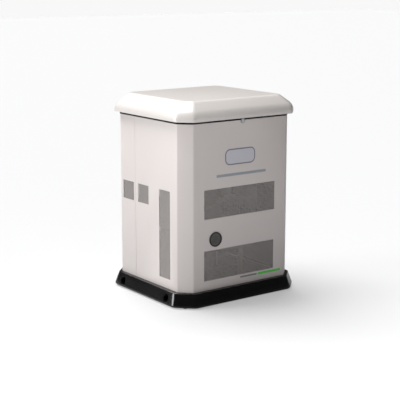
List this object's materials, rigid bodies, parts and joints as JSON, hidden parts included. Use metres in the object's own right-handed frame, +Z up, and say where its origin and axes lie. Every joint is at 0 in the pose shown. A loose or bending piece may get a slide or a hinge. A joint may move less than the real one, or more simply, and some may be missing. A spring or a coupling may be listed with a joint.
{
  "type": "home standby generator",
  "caption": "Home standby generator: chamfered sheet-metal enclosure with hinged roof on a moulded base, V-twin engine above its alternator.",
  "frame": {"origin": "on the ground under the middle of the base", "axes": "+Z up, -Y towards the front with the exhaust outlet, +X to the right seen from the front"},
  "size_m": [0.746, 0.68, 0.982],
  "materials": {
    "base_black": "moulded, satin gloss",
    "beige_paint": "satin powder coat",
    "roof_paint": "gloss powder coat",
    "screen_steel": "painted perforated sheet",
    "zinc": "zinc plated",
    "rubber": "matte",
    "foam": "open-cell foam",
    "cast_alu": "as cast",
    "cast_iron": "machined and as cast",
    "core_steel": "varnished laminations",
    "copper": "enamelled copper wire",
    "brass": "turned",
    "chrome": "polished",
    "black_plastic": "moulded",
    "black_paint": "stoved black",
    "ceramic": "glazed",
    "filter_paper": "pleated",
    "filter_paint": "gloss",
    "hot_steel": "heat tinted",
    "battery_plastic": "moulded",
    "grey_plastic": "fine texture",
    "light_plastic": "moulded",
    "green_plastic": "moulded",
    "yellow_plastic": "moulded",
    "cable": "insulated cable"
  },
  "bodies": {
    "root": {"base_tray": "base_black", "front_panel": "beige_paint", "rear_panel": "beige_paint", "front_screens": "screen_steel", "rear_screens": "screen_steel", "roof_seal": "rubber", "hinge_leaves_fixed": "beige_paint", "hinge_pins": "zinc", "stay_track": "zinc", "lock_housing": "chrome", "panel_screws": "zinc", "fuel_inlet": "brass", "conduit_gland": "black_plastic", "mounting_frame": "black_paint", "isolators": "rubber", "end_bracket": "cast_alu", "rotor_bearing": "chrome", "stator_core": "core_steel", "stator_windings": "copper", "stator_bolts": "zinc", "engine_adapter": "cast_alu", "crankcase": "cast_alu", "cylinders": "cast_alu", "cylinder_heads": "cast_alu", "valve_covers": "black_paint", "spark_plugs": "ceramic", "blower_housing": "black_paint", "fuel_mixer": "cast_alu", "intake_manifold": "cast_alu", "filter_element": "filter_paper", "air_cleaner_cover": "black_plastic", "oil_filter": "filter_paint", "starter_motor": "black_paint", "exhaust_pipes": "hot_steel", "muffler": "hot_steel", "exhaust_outlet": "black_paint", "fuel_regulator": "cast_alu", "fuel_hose": "rubber", "battery": "battery_plastic", "battery_tray": "black_paint", "battery_cables": "cable", "control_box": "black_paint", "control_face": "grey_plastic", "breaker_body": "black_plastic"},
    "roof": {"roof_shell": "roof_paint", "roof_frame": "zinc", "roof_liner": "foam", "hinge_leaves_moving": "zinc"},
    "stay": {"stay_arm": "zinc"},
    "lock": {"lock_cylinder": "chrome", "lock_cam": "zinc"},
    "crank": {"rotor": "core_steel", "crankshaft": "cast_iron", "flywheel": "cast_alu", "cooling_fan": "black_plastic", "debris_screen": "zinc"},
    "oil_dipstick": {"dipstick": "yellow_plastic"},
    "rocker": {"system_switch": "light_plastic"},
    "button": {"exercise_button": "green_plastic"},
    "toggle": {"breaker_toggle": "light_plastic"}
  },
  "joints": [
    {"name": "roof_hinge", "type": "hinge", "parent": "root", "child": "roof", "pos_m": [0, 0.3155, 0.898], "axis": [-1, 0, 0], "range_deg": [0, 60]},
    {"name": "stay_swing", "type": "hinge", "parent": "roof", "child": "stay", "pos_m": [-0.3, -0.1045, 0.868], "axis": [-1, 0, 0], "range_deg": [0, 30]},
    {"name": "lock_turn", "type": "hinge", "parent": "root", "child": "lock", "pos_m": [0.009, -0.3, 0.874], "axis": [0, -1, 0], "range_deg": [0, 90]},
    {"name": "crank_spin", "type": "hinge", "parent": "root", "child": "crank", "pos_m": [0.02, 0.05, 0.4], "axis": [0, 0, 1], "continuous": true},
    {"name": "dipstick_pull", "type": "slide", "parent": "root", "child": "oil_dipstick", "axis": [0, 0, 1], "range_m": [0, 0.12]},
    {"name": "system_rocker", "type": "hinge", "parent": "root", "child": "rocker", "pos_m": [0.22, -0.185, 0.85], "axis": [1, 0, 0], "range_deg": [-12, 12]},
    {"name": "exercise_press", "type": "slide", "parent": "root", "child": "button", "axis": [0, 0, -1], "range_m": [0, 0.003], "stiffness_N_per_m": 400, "springref_m": -0.0015},
    {"name": "breaker_throw", "type": "hinge", "parent": "root", "child": "toggle", "pos_m": [0.25, -0.055, 0.847], "axis": [-1, 0, 0], "range_deg": [0, 40]}
  ],
  "couplings": [
    {"joint": "stay_swing", "follows": "roof_hinge", "ratio": 0.5}
  ]
}
